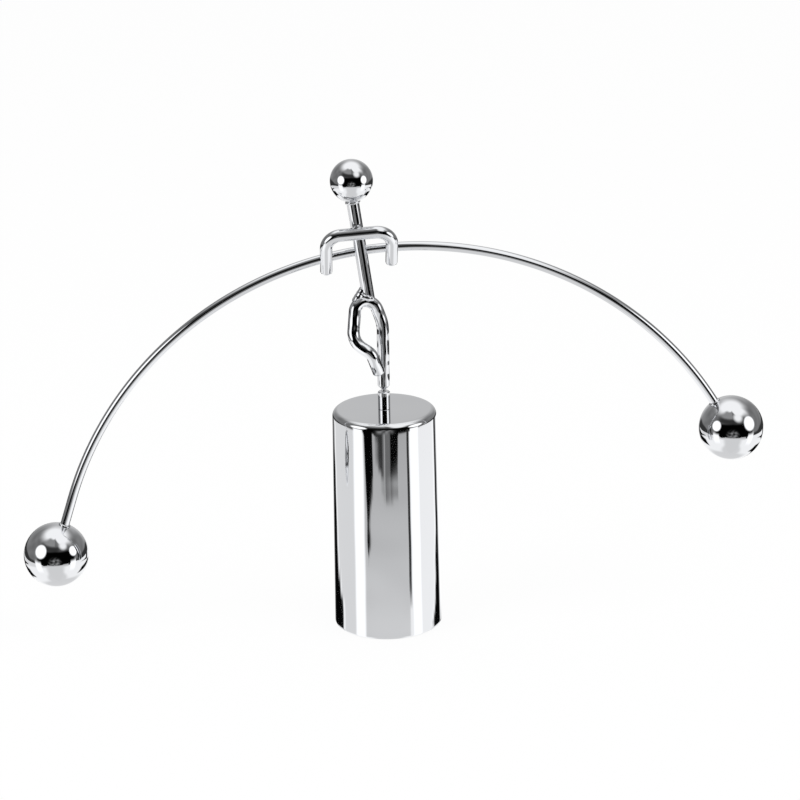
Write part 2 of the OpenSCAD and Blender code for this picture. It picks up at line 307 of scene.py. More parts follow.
def finish_tree(tree, enter, leave, add, geometry):
    """Every tree ends in real geometry that is smooth and carries its finish."""
    smooth = add("GeometryNodeSetShadeSmooth", Geometry=geometry)
    real = add("GeometryNodeRealizeInstances", Geometry=smooth.outputs[0])
    finish = add("GeometryNodeSetMaterial", Geometry=real.outputs[0],
                 Material=enter.outputs["Finish"])
    tree.links.new(finish.outputs[0], leave.inputs[0])
    return tree


def rod_tree():
    """Sweeps a round section along a path. Each point of it says how full the rod is there."""
    tree, enter, leave, add = new_tree("swept_rod", [
        ("Rod radius", "Float"), ("Sides", "Int"), ("Finish", "Material")])
    path = add("GeometryNodeMeshToCurve", Mesh=enter.outputs["Geometry"])
    section = add("GeometryNodeCurvePrimitiveCircle", Resolution=enter.outputs["Sides"],
                  Radius=enter.outputs["Rod radius"])
    fullness = add("GeometryNodeInputNamedAttribute", {"data_type": "FLOAT"}, Name="fullness")
    rod = add("GeometryNodeCurveToMesh", Curve=path.outputs[0], Profile_Curve=section.outputs[0],
              Scale=fullness.outputs[0], Fill_Caps=True)
    return finish_tree(tree, enter, leave, add, rod.outputs[0])


# Rounds of smoothing that melt a weld's lumps into one skin
SKIN_BLURS = 16


def weld_tree():
    """Runs lumps of weld metal together and ripples their skin. It works in millimetres."""
    tree, enter, leave, add = new_tree("weld_metal", [
        ("Grain", "Float"), ("Ripple", "Float"), ("Ripple scale", "Float"),
        ("Finish", "Material")])
    size = add("GeometryNodeInputNamedAttribute", {"data_type": "FLOAT"}, Name="size")
    lumps = add("GeometryNodeMeshToPoints", Mesh=enter.outputs["Geometry"],
                Radius=size.outputs[0])
    metal = add("GeometryNodePointsToVolume", {"resolution_mode": "VOXEL_SIZE"},
                Points=lumps.outputs[0], Voxel_Size=enter.outputs["Grain"],
                Radius=size.outputs[0])
    skin = add("GeometryNodeVolumeToMesh", Volume=metal.outputs[0])
    place = add("GeometryNodeInputPosition")
    relaxed = add("GeometryNodeBlurAttribute", {"data_type": "FLOAT_VECTOR"},
                  Value=place.outputs[0], Iterations=SKIN_BLURS)
    soft = add("GeometryNodeSetPosition", Geometry=skin.outputs[0], Position=relaxed.outputs[0])
    ripple = add("ShaderNodeTexNoise", Scale=enter.outputs["Ripple scale"], Detail=0.5)
    centred = add("ShaderNodeMath", {"operation": "SUBTRACT"})
    tree.links.new(ripple.outputs[0], centred.inputs[0])
    centred.inputs[1].default_value = 0.5
    height = add("ShaderNodeMath", {"operation": "MULTIPLY"})
    tree.links.new(centred.outputs[0], height.inputs[0])
    tree.links.new(enter.outputs["Ripple"], height.inputs[1])
    outward = add("GeometryNodeInputNormal")
    push = add("ShaderNodeVectorMath", {"operation": "SCALE"}, Vector=outward.outputs[0],
               Scale=height.outputs[0])
    uneven = add("GeometryNodeSetPosition", Geometry=soft.outputs[0], Offset=push.outputs[0])
    scaled = add("GeometryNodeTransform", Geometry=uneven.outputs[0], Scale=(MM, MM, MM))
    return finish_tree(tree, enter, leave, add, scaled.outputs[0])


def grow(name, points, edges, attribute, values, tree, inputs, finish, scale=MM):
    """Feeds points to a tree and returns what grows from them as a plain mesh object."""
    mesh = bpy.data.meshes.new(name)
    mesh.from_pydata([p * scale for p in points], edges, [])
    mesh.attributes.new(attribute, "FLOAT", "POINT").data.foreach_set("value", list(values))
    obj = linked(name, mesh)
    modifier = obj.modifiers.new("grow", "NODES")
    modifier.node_group = tree
    named = {s.name: s.identifier for s in tree.interface.items_tree if s.in_out == "INPUT"}
    for key, value in {**inputs, "Finish": finish}.items():
        modifier[named[key]] = value
    grown = obj.evaluated_get(bpy.context.evaluated_depsgraph_get())
    plain = bpy.data.meshes.new_from_object(grown)
    obj.modifiers.remove(modifier)
    obj.data = plain
    close_and_smooth(obj)
    return obj


def close_and_smooth(obj, sharp=32):
    """Closes poles and seams, turns faces outwards and keeps only true edges sharp."""
    work = bmesh.new()
    work.from_mesh(obj.data)
    bmesh.ops.remove_doubles(work, verts=work.verts, dist=1e-7)
    bmesh.ops.recalc_face_normals(work, faces=work.faces)
    work.to_mesh(obj.data)
    work.free()
    obj.data.shade_smooth()
    obj.data.set_sharp_from_angle(angle=radians(sharp))


def chain(count, closed=False):
    return [(i, i + 1) for i in range(count - 1)] + ([(count - 1, 0)] if closed else [])


def swept(name, points, fullness, radius, finish, sides=64, closed=False):
    return grow(name, points, chain(len(points), closed), "fullness", fullness, SWEPT_ROD,
                {"Rod radius": radius * MM, "Sides": sides}, finish)


def weld(name, lumps, finish, grain=0.09, ripple=0.25, ripple_scale=0.5):
    """A weld from lumps, each a point in the toy's frame and a radius in millimetres."""
    return grow(name, [p for p, _ in lumps], [], "size", [r for _, r in lumps], WELD_METAL,
                {"Grain": grain, "Ripple": ripple, "Ripple scale": ripple_scale}, finish, 1.0)


def turned(name, profile, at, axis, finish, sides=128, sharp=32):
    """A piece turned on a lathe: radius and height pairs, spun about an axis through a point."""
    turn = Vector((0, 0, 1)).rotation_difference(axis).to_matrix()
    work = bmesh.new()
    rings = []
    for r, z in profile:
        rings.append([work.verts.new((at + turn @ mm(r * cos(a), r * sin(a), z)) * MM)
                      for a in (2 * pi * i / sides for i in range(sides))])
    for low, high in zip(rings, rings[1:]):
        for i in range(sides):
            j = (i + 1) % sides
            work.faces.new((low[i], low[j], high[j], high[i]))
    mesh = bpy.data.meshes.new(name)
    work.to_mesh(mesh)
    work.free()
    obj = linked(name, mesh)
    mesh.materials.append(finish)
    close_and_smooth(obj, sharp)
    return obj


def rounding(centre_r, centre_z, radius, start, end, steps=10):
    """Part of a profile that goes round an edge, with angles from the radius outwards."""
    return [(centre_r + radius * cos(radians(a)), centre_z + radius * sin(radians(a)))
            for a in np.linspace(start, end, steps)]


# Materials

# A Mix node has sockets for every kind of data. These are the ones for colours
MIX_COLOUR_A = 6
MIX_COLOUR_B = 7
MIX_COLOUR_OUT = 2


def new_material(name):
    material = bpy.data.materials.new(name)
    material.use_nodes = True
    nodes, links = material.node_tree.nodes, material.node_tree.links
    shader = nodes["Principled BSDF"]
    place = nodes.new("ShaderNodeTexCoord").outputs["Object"]

    def add(kind, settings=None, **inputs):
        node = nodes.new(kind)
        for key, value in (settings or {}).items():
            setattr(node, key, value)
        for key, value in inputs.items():
            socket = node.inputs[key.replace("_", " ")]
            if isinstance(value, bpy.types.NodeSocket):
                links.new(value, socket)
            else:
                socket.default_value = value
        return node

    return material, shader, place, add, links


def ranged(add, value, low, high, from_low=0.3, from_high=0.7):
    node = add("ShaderNodeMapRange", Value=value, From_Min=from_low, From_Max=from_high,
               To_Min=low, To_Max=high)
    return node.outputs[0]


def toned(add, pattern, dark, light):
    """A colour between two, by a pattern."""
    node = add("ShaderNodeMix", {"data_type": "RGBA"}, Factor=pattern)
    node.inputs[MIX_COLOUR_A].default_value = (*dark, 1)
    node.inputs[MIX_COLOUR_B].default_value = (*light, 1)
    return node.outputs[MIX_COLOUR_OUT]


def chrome(name, colour=(0.80, 0.81, 0.83), sheen=(0.02, 0.05), wave=0.0, wave_mm=9.0,
           grain=0.0, grain_mm=0.25, stretch=(1, 1, 1)):
    """Plated steel. wave is the plating's slow swell and grain its polishing marks, in mm."""
    material, shader, place, add, links = new_material(name)
    shader.inputs["Metallic"].default_value = 1.0
    shader.inputs["Base Color"].default_value = (*colour, 1)
    along = add("ShaderNodeMapping", Vector=place, Scale=stretch).outputs[0]
    swell = add("ShaderNodeTexNoise", Vector=place, Scale=1 / (wave_mm * MM), Detail=0.0)
    smudge = add("ShaderNodeTexNoise", Vector=place, Scale=140.0, Detail=6.0, Roughness=0.65)
    marks = add("ShaderNodeTexNoise", Vector=along, Scale=1 / (grain_mm * MM), Detail=3.0)
    links.new(ranged(add, smudge.outputs[0], *sheen), shader.inputs["Roughness"])
    slow = add("ShaderNodeBump", Distance=wave * MM, Height=swell.outputs[0])
    fine = add("ShaderNodeBump", Distance=grain * MM, Height=marks.outputs[0],
               Normal=slow.outputs[0])
    links.new(fine.outputs[0], shader.inputs["Normal"])
    return material


def zinc_plate():
    material, shader, place, add, links = new_material("dull_zinc")
    shader.inputs["Metallic"].default_value = 1.0
    cloud = add("ShaderNodeTexNoise", Vector=place, Scale=900.0, Detail=5.0)
    tone = toned(add, cloud.outputs[0], (0.52, 0.54, 0.55), (0.68, 0.69, 0.70))
    links.new(tone, shader.inputs["Base Color"])
    links.new(ranged(add, cloud.outputs[0], 0.3, 0.45), shader.inputs["Roughness"])
    grit = add("ShaderNodeBump", Distance=0.00002, Height=cloud.outputs[0])
    links.new(grit.outputs[0], shader.inputs["Normal"])
    return material


def cast_cement():
    material, shader, place, add, links = new_material("cast_cement")
    sand = add("ShaderNodeTexNoise", Vector=place, Scale=1500.0, Detail=8.0, Roughness=0.7)
    cloud = add("ShaderNodeTexNoise", Vector=place, Scale=160.0, Detail=4.0)
    tone = toned(add, cloud.outputs[0], (0.50, 0.48, 0.45), (0.72, 0.70, 0.66))
    links.new(tone, shader.inputs["Base Color"])
    links.new(ranged(add, sand.outputs[0], 0.8, 0.95), shader.inputs["Roughness"])
    pits = add("ShaderNodeBump", Distance=0.0002, Height=sand.outputs[0])
    links.new(pits.outputs[0], shader.inputs["Normal"])
    return material


def black_foam():
    material, shader, place, add, links = new_material("black_foam")
    cells = add("ShaderNodeTexVoronoi", Vector=place, Scale=2600.0)
    tone = toned(add, cells.outputs["Distance"], (0.018, 0.018, 0.02), (0.07, 0.07, 0.075))
    links.new(tone, shader.inputs["Base Color"])
    links.new(ranged(add, cells.outputs["Distance"], 0.75, 0.95), shader.inputs["Roughness"])
    skin = add("ShaderNodeBump", Distance=0.00012, Height=cells.outputs["Distance"])
    links.new(skin.outputs[0], shader.inputs["Normal"])
    return material


# Pieces


def fit(piece, body, *nodes, slot):
    """Hands a piece to its body, in the stead of the nodes that it dresses."""
    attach(piece, body)
    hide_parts(*nodes)


def cup_line(inset):
    """The cup's outline drawn in by an inset: its top radius and the middle of its edge."""
    slope = atan((CUP_FOOT_D - CUP_TOP_D) / 2 / CUP_H)
    edge_r = CUP_EDGE_R - inset
    top_r = CUP_TOP_D / 2 - inset / cos(slope) + inset * tan(slope)
    edge_x = top_r - edge_r * (1 - sin(slope)) / cos(slope)
    return slope, edge_r, top_r, edge_x, CUP_H - inset


def cup():
    """The drawn cup: one skin from the hole for the shank, over the edge, round the foot
    and up again inside."""
    slope, edge_r, top_r, edge_x, top_z = cup_line(0)
    hole_r = SHANK_D / 2 + TURN_GAP
    foot_r = top_r + (top_z - RIM_LIFT) * tan(slope)
    lean = degrees(slope)
    profile = [(hole_r, top_z), (hole_r + 1.5, top_z)]
    profile += [(r, top_z) for r in np.linspace(5, edge_x, 12)]
    profile += rounding(edge_x, top_z - edge_r, edge_r, 90, lean, 28)[1:]
    wall_top_z = top_z - edge_r * (1 - sin(slope))
    profile += [(top_r + (top_z - z) * tan(slope), z) for z in np.linspace(wall_top_z, 1, 40)[1:]]
    profile += rounding(foot_r - FOOT_EDGE_R, RIM_LIFT + FOOT_EDGE_R, FOOT_EDGE_R, 0, -90, 6)
    slope, edge_r, top_r, edge_x, top_z = cup_line(CUP_WALL)
    inner_foot_r = top_r + (top_z - RIM_LIFT) * tan(slope)
    profile += rounding(inner_foot_r + FOOT_EDGE_R, RIM_LIFT + FOOT_EDGE_R, FOOT_EDGE_R,
                        -90, -180, 6)
    profile += rounding(edge_x, top_z - edge_r, edge_r, lean, 90, 12)
    profile += [(hole_r, top_z), (hole_r, CUP_H)]
    piece = turned("cup", profile, mm(0, 0, 0), mm(0, 0, 1), FINISH["cup_chrome"], 256)
    fit(piece, "base", "base_cup", slot="cup_chrome")


def pad():
    slope = cup_line(0)[0]
    pad_r = CUP_FOOT_D / 2 - CUP_WALL / cos(slope) - PAD_T * tan(slope) - PAD_GAP
    low, high = PAD_EDGE_R, PAD_T - PAD_EDGE_R
    profile = [(0, 0)] + rounding(pad_r - low, low, PAD_EDGE_R, -90, 0, 6)
    profile += rounding(pad_r - low, high, PAD_EDGE_R, 0, 90, 6) + [(0, PAD_T)]
    piece = turned("pad", profile, mm(0, 0, 0), mm(0, 0, 1), FINISH["foam"], 96)
    fit(piece, "base", "base_pad", slot="foam")


def post():
    """The turned post with its shank, and the seat that the little ball sits in."""
    foot, top, r = CUP_H + TURN_GAP, CUP_H + TURN_GAP + POST_H, POST_D / 2
    seat_r = TIP_R + TIP_GAP
    half = degrees(acos(TIP_LIFT / seat_r))
    profile = [(0, NUT_Z), (SHANK_D / 2 - 0.25, NUT_Z), (SHANK_D / 2, NUT_Z + 0.25)]
    profile += [(SHANK_D / 2, foot), (r - 0.08, foot), (r, foot + 0.08)]
    profile += [(r, z) for z in np.linspace(foot + 0.4, top - POST_CHAMFER, 8)]
    profile += [(r - POST_CHAMFER, top)]
    profile += [(seat_r * sin(radians(a)), top + TIP_LIFT - seat_r * cos(radians(a)))
                for a in np.linspace(half, 0, 8)]
    piece = turned("post", profile, mm(0, 0, 0), mm(0, 0, 1), FINISH["post_steel"], 96)
    fit(piece, "post", "support_post", slot="post_steel")


def globe(radius, start=0, end=180, steps=64):
    """A ball's profile between two angles from its top."""
    return [(radius * sin(radians(a)), radius * cos(radians(a)))
            for a in np.linspace(start, end, steps)]


def tip():
    piece = turned("tip", globe(TIP_R, steps=40), PIVOT, mm(0, 0, 1), FINISH["post_steel"], 64)
    fit(piece, "pivot_ball", "pivot_ball", slot="post_steel")


def drilled_ball(name, node, radius, hole_r, depth, at, axis):
    """A ball with a blind hole towards axis, whose mouth has its edge just broken."""
    break_r = 0.12
    mouth = degrees(asin((hole_r + break_r) / radius))
    mouth_z = radius * cos(radians(mouth))
    profile = [(0, radius - depth), (hole_r, radius - depth), (hole_r, mouth_z - break_r)]
    profile += globe(radius, mouth, 180, 120)
    piece = turned(name, profile, at, axis, FINISH["ball_chrome"], 160)
    fit(piece, "figure", node, slot="ball_chrome")


def head():
    drilled_ball("head", "head_ball", HEAD_R, ROD_R + HOLE_GAP, NECK_HOLE,
                 in_figure(mm(HEAD_SHIFT, 0, HEAD_Z)), tilt(mm(0, 0, -1), LEAN))


def wire_way(side):
    """The way the wire runs into a ball, and the ball's middle, in the toy's frame."""
    at = in_figure(wire_place(ball_on_wire(side)))
    return (at - in_figure(wire_place(arch_end(side)))).normalized(), at


def end_ball(side, name):
    way, at = wire_way(side)
    drilled_ball(name, name, ball_r(side), WIRE_R + HOLE_GAP, BALL_HOLE, at, -way)


def legs():
    up = (LEG_CORNERS[1] - LEG_CORNERS[0]).normalized()
    points, fullness = rounded_tip(
        bent([up * TOE_TAPER_Z] + LEG_CORNERS[1:], LEG_BENDS), ROD_R, END_R)
    rod = swept("legs", [in_figure(p) for p in points], fullness, ROD_R,
                FINISH["leg_chrome"], 80)
    seat_r = TIP_R + TIP_GAP
    half = degrees(acos(TOE_FACE_Z / seat_r))
    cone = globe(seat_r, 0, half, 8)
    cone += [(TOE_FACE_R - 0.06, TOE_FACE_Z), (TOE_FACE_R, TOE_FACE_Z + 0.06)]
    cone += [(TOE_FACE_R + (ROD_R - TOE_FACE_R) * t, TOE_FACE_Z + 0.06 + 1.22 * t)
             for t in np.linspace(0, 1, 10)[1:]]
    cone += [(0, TOE_TAPER_Z)]
    toe = turned("toe", cone, PIVOT, tilt(up, LEAN), FINISH["leg_chrome"], 80)
    piece = joined(rod, toe)
    fit(piece, "figure", "leg_rod", slot="rod_chrome")


def joined(first, *others):
    for other in others:
        work = bmesh.new()
        work.from_mesh(first.data)
        work.from_mesh(other.data)
        work.to_mesh(first.data)
        work.free()
        bpy.data.objects.remove(other)
    return first


def body():
    foot_z = HIP_Z + ROD_R - HIP_SINK
    top_z = HEAD_Z - HEAD_R + NECK_HOLE
    points = [in_figure(mm(0, 0, z)) for z in np.linspace(foot_z, top_z, 30)]
    piece = swept("body", points, [1.0] * len(points), ROD_R, FINISH["rod_chrome"], 80)
    fit(piece, "figure", "body_rod", slot="rod_chrome")


def arms():
    corners = arm_corners()
    bends = [0, ARM_BEND_R, ARM_BEND_R, 0]
    points, fullness = rounded_tip(bent(corners, bends), ROD_R, END_R)
    points, second = rounded_tip(points[::-1], ROD_R, END_R)
    fullness = fullness[::-1][:-1] + second[len(fullness) - 1:]
    piece = swept("arms", [in_figure(p) for p in points], fullness, ROD_R,
                  FINISH["rod_chrome"], 80)
    fit(piece, "figure", "arm_bracket", slot="rod_chrome")


def wire():
    """The arched wire, straight at both ends and glued deep in its balls."""
    points = [wire_place(arch(a)) for a in np.linspace(-LEFT_SPAN, RIGHT_SPAN, 280)]
    for side in (-1, 1):
        glued = ball_on_wire(side) + end_dir(side) * (BALL_HOLE - ball_r(side))
        run = [wire_place(arch_end(side).lerp(glued, t)) for t in (0.5, 1)]
        points = points + run if side == 1 else run[::-1] + points
    piece = swept("wire", [in_figure(p) for p in points], [1.0] * len(points), WIRE_R,
                  FINISH["wire_chrome"], 48)
    fit(piece, "figure", "balance_wire", slot="wire_chrome")


def bead_round(name, node, at, way, radius, bead_r, ripples, depth=0.12):
    """A bead of weld laid round a rod, with a ripple for each touch of the torch."""
    turn = Vector((0, 0, 1)).rotation_difference(way).to_matrix()
    count = 144
    angles = [2 * pi * i / count for i in range(count)]
    points = [at + turn @ mm(radius * cos(a), radius * sin(a), 0) for a in angles]
    fullness = [1 - depth + depth * abs(cos(ripples * a / 2)) for a in angles]
    piece = swept(name, points, fullness, bead_r, FINISH["weld_chrome"], 24, closed=True)
    fit(piece, "figure", node, slot="weld_chrome")


def neck_weld():
    bead_round("neck_bead", "neck_weld", in_figure(mm(0, 0, HEAD_Z - HEAD_R)),
               tilt(mm(0, 0, 1), LEAN), ROD_R, 0.5, 9)


def ball_weld(side, name):
    way, at = wire_way(side)
    mouth = at - way * ball_r(side)
    bead_round(name.replace("weld", "bead"), name, mouth, way, WIRE_R, 0.5, 6)


# Runs of weld in shares of the rod's radius, from the crest of the legs: x, y, z and radius
HIP_RUNS = [
    [(-0.85, -0.3, 1.0, 0.5), (-1.25, -0.35, 0.35, 0.62), (-1.65, -0.4, -0.15, 0.62),
     (-2.1, -0.45, -0.6, 0.6), (-2.35, -0.5, -1.2, 0.5), (-2.5, -0.5, -1.9, 0.35)],
    [(-0.85, 0.3, 1.0, 0.5), (-1.25, 0.35, 0.35, 0.62), (-1.65, 0.3, -0.15, 0.62),
     (-2.1, 0.2, -0.6, 0.6)],
    [(-1.25, -0.35, 0.35, 0.62), (-0.8, -0.7, 0.05, 0.56), (-0.1, -0.9, -0.3, 0.5),
     (0.5, -0.8, -0.5, 0.42)],
    [(-1.25, 0.35, 0.35, 0.62), (-0.8, 0.7, 0.05, 0.56), (-0.1, 0.9, -0.3, 0.5),
     (0.5, 0.8, -0.5, 0.42)],
]
# Smoothing thins the metal a little, so its lumps start fuller
HIP_FULLNESS = 1.05


def flowing(run, steps=6, sag=0.06):
    """Fills a run of lumps with more between them, a little thinner than the lumps."""
    lumps = []
    for a, b in zip(run, run[1:]):
        for t in np.linspace(0, 1, steps + 1):
            x, y, z, r = (p + (q - p) * t for p, q in zip(a, b))
            lumps.append((x, y, z, r * (1 - sag * sin(pi * t))))
    return lumps


def hip_weld():
    """The heavy weld that runs down the left of the body onto the raised thigh."""
    crest = mm(0, 0, HIP_Z + ROD_R)
    lumps = [(in_figure(crest + mm(x, y, z) * ROD_R), HIP_FULLNESS * r * ROD_R)
             for run in HIP_RUNS for x, y, z, r in flowing(run)]
    fit(weld("hip_metal", lumps, FINISH["weld_chrome"]), "figure", "hip_weld",
          slot="weld_chrome")


def spot_weld(name, node, at, radius):
    """A single touch of weld where two rods cross, squeezed a little to each side."""
    spread = radius * 0.25
    lumps = [(in_figure(at) + mm(x, 0, z) * spread, radius * 0.9)
             for x, z in ((-1, 0.4), (0, -0.6), (1, 0.5))]
    fit(weld(name, lumps, FINISH["weld_chrome"]), "figure", node, slot="weld_chrome")


FINISH = {
    "cup_chrome": chrome("cup_chrome", wave=0.10, wave_mm=14, grain=0.00002),
    "ball_chrome": chrome("ball_chrome", wave=0.03, wave_mm=6, grain=0.00002),
    "rod_chrome": chrome("rod_chrome", wave=0.05, wave_mm=4, grain=0.00003),
    "leg_chrome": chrome("leg_chrome", wave=0.42, wave_mm=3.8, grain=0.00005),
    "wire_chrome": chrome("wire_chrome", wave=0.02, wave_mm=5, grain=0.00003),
    "weld_chrome": chrome("weld_chrome", wave=0.06, wave_mm=1.8, grain=0.0001),
    "post_steel": chrome("post_steel", wave=0.001, wave_mm=4, grain=0.0004, grain_mm=0.12,
                         sheen=(0.05, 0.12), stretch=(0.05, 0.05, 1)),
    "zinc": zinc_plate(),
    "cement": cast_cement(),
    "foam": black_foam(),
}
SWEPT_ROD = rod_tree()
WELD_METAL = weld_tree()

cup()
pad()
post()
tip()
legs()
body()
arms()
wire()
head()
end_ball(-1, "left_ball")
end_ball(1, "right_ball")
hip_weld()
neck_weld()
ball_weld(-1, "left_ball_weld")
ball_weld(1, "right_ball_weld")
chest_z = ARM_Z + ARM_SHIFT * tan(radians(ARM_SLOPE))
spot_weld("chest_metal", "chest_weld", mm(0, ARM_Y / 2, chest_z), 1.9)
spot_weld("back_metal", "back_weld", wire_at(0) - mm(0, WIRE_R, 0), 1.5)
spot_weld("left_hand_metal", "left_hand_weld", hand_touch(-1), 1.5)
spot_weld("right_hand_metal", "right_hand_weld", hand_touch(1), 1.5)
for node, slot in (("base_ballast", "cement"), ("post_washer", "zinc"), ("post_nut", "zinc")):
    materials = frame["nodes"][node].data.materials
    materials.clear()
    materials.append(FINISH[slot])


# Studio. Its greys and angles, in degrees, were set until the toy's chrome mirrored
# what it mirrors in the photograph.

CHROME_MIRRORS = 0.8
# Elevations of the band where the base's painted shadows lie on the tent's table
SHADOW_BAND = (-25.5, -17)
TENT_R = 4.0


def shown(level):
    """The light that chrome mirrors as a given grey of the picture, from 0 to 1."""
    return (np.asarray(level, float) ** 2.2) / CHROME_MIRRORS


def ease(x, start, end):
    t = np.clip((x - start) / (end - start), 0, 1)
    return t * t * (3 - 2 * t)


def between(x, low, high, soft):
    return ease(x, low - soft, low + soft) * (1 - ease(x, high - soft, high + soft))


def painted(level, grey, where):
    return level + (grey - level) * where


def mottle(az, el):
    """Slow uneven shading from -1 to 1, as of creased paper and things that stand about."""
    return np.sin(0.11 * az + 1.5 * np.sin(0.1 * el)) * np.sin(0.15 * el + 1.2 * np.sin(0.09 * az))


def blurred_spot(az, el, at, size, soft):
    """1 inside an oval of the studio's sky, 0 outside it, with a soft rim."""
    out = np.hypot((az - at[0]) / size[0], (el - at[1]) / size[1])
    return 1 - ease(out, 1 - soft, 1 + soft)


def room_above(az, el):
    """Walls and ceiling. Over the camera the ceiling starts higher, past two strips."""
    side = np.abs(az)
    front = ease(side, 96, 132)
    lower = between(az, 85, 160, 12)
    level = 0.43 + 0.27 * np.exp(-(az / 30) ** 2) + 0.03 * mottle(az, el)
    ceiling = 45 + 33 * (side / 180) ** 2 - 13 * lower
    level = painted(level, 0.94, ease(el, ceiling - 15 + 7 * front, ceiling + 15 - 7 * front))
    level = painted(level, 0.52, front * between(el, 48, 75, 5) * ease(-az, -30, 30))
    return painted(level, 0.20, front * between(el, 29, 46, 6) * (1 - 0.6 * lower))


def with_opening(level, az, el):
    """The dark opening that the camera looks in by, and the pale shape of its stand."""
    behind = 180 - np.abs(az)
    opening = between(el, -60, 30 - 0.08 * behind, 6)
    opening = opening * np.clip(ease(az, 103, 112) + ease(-az, 112, 122), 0, 1)
    level = painted(level, 0.035, opening)
    stand = blurred_spot(behind, el, (0, -16), (22, 24), 0.35)
    return painted(level, 0.32 + 0.2 * mottle(2 * az, 2 * el + 40), stand)


def with_wall_foot(level, az, el):
    """The walls' dark foot, wider at both sides behind the toy."""
    side = np.abs(az)
    foot = -11 + 5 * between(side, 25, 75, 12)
    return painted(level, 0.20, between(el, -20, foot, 2.5) * between(side, 16, 107, 8))


def table_grey(az, el):
    """The pale table, brighter on its right, whose middle ends in a curve."""
    side = np.abs(az)
    table = 0.82 + 0.10 * ease(az, -10, 30)
    table = painted(table, 0.93, ease(-el, 25, 30))
    near = ease(side, 129, 134) * (1 - ease(-el, 24, 34))
    table = painted(table, 0.66 - 0.026 * (el + 19.5), near)
    curve = 34 + 30 * np.sin(np.radians(az)) ** 2
    table = painted(table, 0.80, ease(-el, curve, curve + 16))
    return painted(table, 0.79, ease(side, 138, 158) * ease(-el, 22, 27))


def with_table(level, az, el):
    """The table, and on its edge by the camera the dark things that reach below the opening."""
    slip = np.where(az > 0, az - 180, az + 180)
    reach = 2.5 - 0.025 * np.abs(slip) - 0.055 * np.maximum(slip, 0)
    edge = -17.7 - between(slip, -28, 24, 2) * reach
    rail = between(el, -21.5, -17.5, 0.4)
    level = painted(level, 0.2, rail * between(slip, 6, 24, 2))
    level = painted(level, 0.4, rail * between(slip, -11, 6, 1.5))
    level = painted(level, 0.6, rail * between(slip, 0.5, 3, 1))
    level = painted(level, 0.04, rail * between(slip, -28, -11, 1.5))
    return painted(level, table_grey(az, el), ease(-el, -edge - 0.3, -edge + 0.3))


def with_screens(level, az, el):
    """Lit screens under the lamps."""
    screens = between(az, -130.5, -106, 3) + between(az, 101.5, 124, 1.5)
    return painted(level, 1.0, np.clip(screens, 0, 1) * between(el, -42, -10, 7))


def with_painted_shadows_behind(level, az, el):
    """Painted shadows of the base on the table behind the toy, black, each with a bright rim on its
    outer side.
    """
    band = between(el, *SHADOW_BAND, 0.5)
    rim = -30 + 2.5 * (el + 18.6) - 3.5 * np.clip(-22 - el, 0, 1.8) ** 3
    level = painted(level, 0.93, between(az, rim - 8, rim, 2) * band)
    left = ease(az, rim - 3, rim + 3) * (1 - ease(az, -22, -12))
    # Painted shadow of the base on the left, black, greying above an elevation of -20
    level = painted(level, 0.05 + 0.33 * ease(el, -20.6, -19.4), left * band)
    level = painted(level, 0.38, between(az, -17, -4, 4) * between(el, *SHADOW_BAND, 1))
    rim = 43.5 + 4.5 * np.maximum(-21.8 - el, 0) ** 1.5
    level = painted(level, 0.97, between(az, rim, rim + 8, 2) * band)
    right = ease(az, 25, 37) * (1 - ease(az, rim - 3, rim + 3))
    # Painted shadow of the base on the right, black, a little grey above an elevation of -21
    level = painted(level, 0.05 + 0.12 * ease(el, -22, -20), right * band)
    return painted(level, 0.96, between(az, 3, 20, 3) * between(el, -25, -17, 1))


def with_dark_shapes_in_front(level, az, el):
    """A dark spike and a thin line beside the opening, and two slanted dark strips by the toy."""
    side = np.abs(az)
    spike = -21.9 + 0.16 * np.maximum(-138.5 - az, 0) + 0.6 * np.maximum(az + 138.5, 0)
    spike = ease(el, spike - 0.3, spike + 0.5) * between(az, -152, -130, 1)
    level = painted(level, 0.05, spike * between(el, -30, -16, 1))
    level = painted(level, 0.20, between(az, 126.5, 132, 1) * between(el, -23, -16, 0.5))
    # Two slanted strips, near black, at both sides below an elevation of -25
    half = 2.5 + 0.08 * side
    for turn in (-1, 1):
        low = 18 + (0.42 + 0.04 * turn) * side
        slant = between(el + low, -half, half, 1.5) * between(turn * az, 10, 58, 4)
        level = painted(level, 0.03, slant * ease(-el, 24.5, 26.5))
    return level


def studio_level(az, el):
    """The studio's grey by direction: az 0 is away from the camera, 90 to its right."""
    level = room_above(az, el)
    for add_part in (with_opening, with_wall_foot, with_table, with_screens,
                     with_painted_shadows_behind, with_dark_shapes_in_front):
        level = add_part(level, az, el)
    return level


